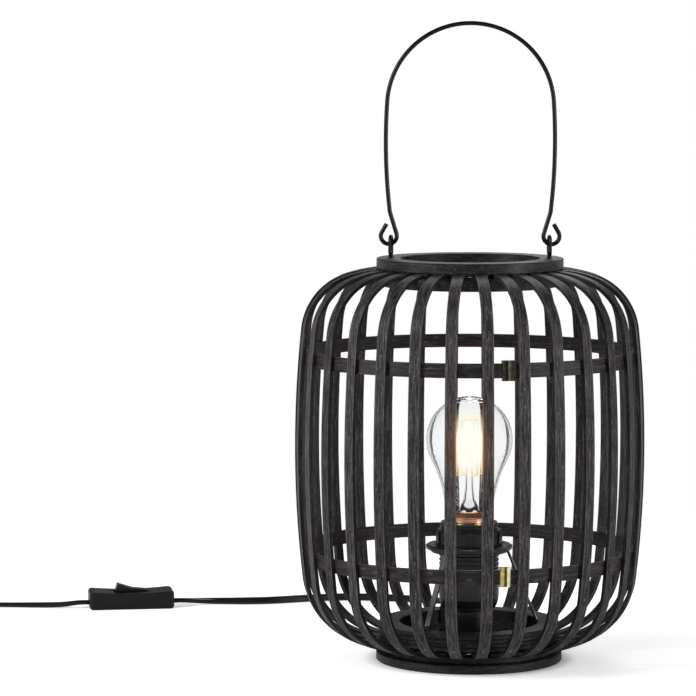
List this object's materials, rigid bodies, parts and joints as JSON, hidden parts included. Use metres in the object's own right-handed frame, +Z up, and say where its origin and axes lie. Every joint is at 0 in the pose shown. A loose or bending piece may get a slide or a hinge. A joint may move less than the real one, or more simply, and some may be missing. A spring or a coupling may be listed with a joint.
{
  "type": "table lamp",
  "caption": "Lantern table lamp: black bent-slat cage between wooden rings, wire bail, clear bulb on a three-legged stand, flat cord with rocker switch and plug",
  "frame": {"origin": "on the table, at the centre of the foot ring", "axes": "+Z up, -Y to the front, +X to the right as seen from the front; the cord leaves at the back and lies to the left"},
  "size_m": [0.5911, 0.3644, 0.4419],
  "materials": {
    "slats": "black-stained bamboo, satin",
    "rings": "black-stained turned wood, satin",
    "hoops": "black-stained bent strip, satin",
    "dark_clip": "dark olive lacquered sheet",
    "brass_clip": "bright rolled brass sheet",
    "wire": "black lacquered steel wire",
    "stand": "glossy black enamelled strip",
    "holder": "moulded black phenolic, glossy",
    "contacts": "spun brass",
    "bulb_glass": "clear thin glass",
    "bulb_cap": "rolled brass screw cap",
    "filaments": "glowing phosphor rods",
    "cord": "flat twin cord, soft satin black sheath",
    "switch": "moulded satin black plastic",
    "rocker": "moulded satin black plastic",
    "pins": "nickel-plated pins"
  },
  "bodies": {
    "lamp": {"slat_01": "slats", "slat_02": "slats", "slat_03": "slats", "slat_04": "slats", "slat_05": "slats", "slat_06": "slats", "slat_07": "slats", "slat_08": "slats", "slat_09": "slats", "slat_10": "slats", "slat_11": "slats", "slat_12": "slats", "slat_13": "slats", "slat_14": "slats", "slat_15": "slats", "slat_16": "slats", "slat_17": "slats", "slat_18": "slats", "slat_19": "slats", "slat_20": "slats", "slat_21": "slats", "slat_22": "slats", "slat_23": "slats", "slat_24": "slats", "slat_25": "slats", "slat_26": "slats", "slat_27": "slats", "slat_28": "slats", "slat_29": "slats", "slat_30": "slats", "rim_ring": "rings", "collar_ring": "rings", "upper_hoop": "hoops", "lower_hoop": "hoops", "upper_hoop_clip": "dark_clip", "lower_hoop_clip": "brass_clip", "base_ring": "rings", "spacer_ring": "rings", "foot_ring": "rings", "eye_screws": "wire", "stand": "stand", "holder_body": "holder", "holder_dome": "holder", "cord_grip": "holder", "shade_ring": "holder", "screw_shell": "contacts", "centre_contact": "contacts", "cord_lamp_side": "cord", "switch_base": "switch", "switch_cover": "switch", "cord_plug_side": "cord", "cord_coil": "cord", "plug_body": "switch", "plug_pins": "pins"},
    "bail": {"bail": "wire"},
    "bulb": {"bulb_glass": "bulb_glass", "bulb_cap": "bulb_cap", "bulb_stem": "bulb_glass", "bulb_filaments": "filaments"},
    "rocker": {"switch_rocker": "rocker"}
  },
  "joints": [
    {"name": "bail_hinge", "type": "hinge", "parent": "lamp", "child": "bail", "pos_m": [0, 0, 0.2889], "axis": [1, 0, 0], "range_deg": [-100, 100]},
    {"name": "bulb_lift", "type": "slide", "parent": "lamp", "child": "bulb", "axis": [0, 0, 1], "range_m": [0, 0.027]},
    {"name": "rocker_hinge", "type": "hinge", "parent": "lamp", "child": "rocker", "pos_m": [-0.256, 0.208, 0.0105], "axis": [-0.1736, 0.9848, 0], "range_deg": [-24, 0]}
  ]
}
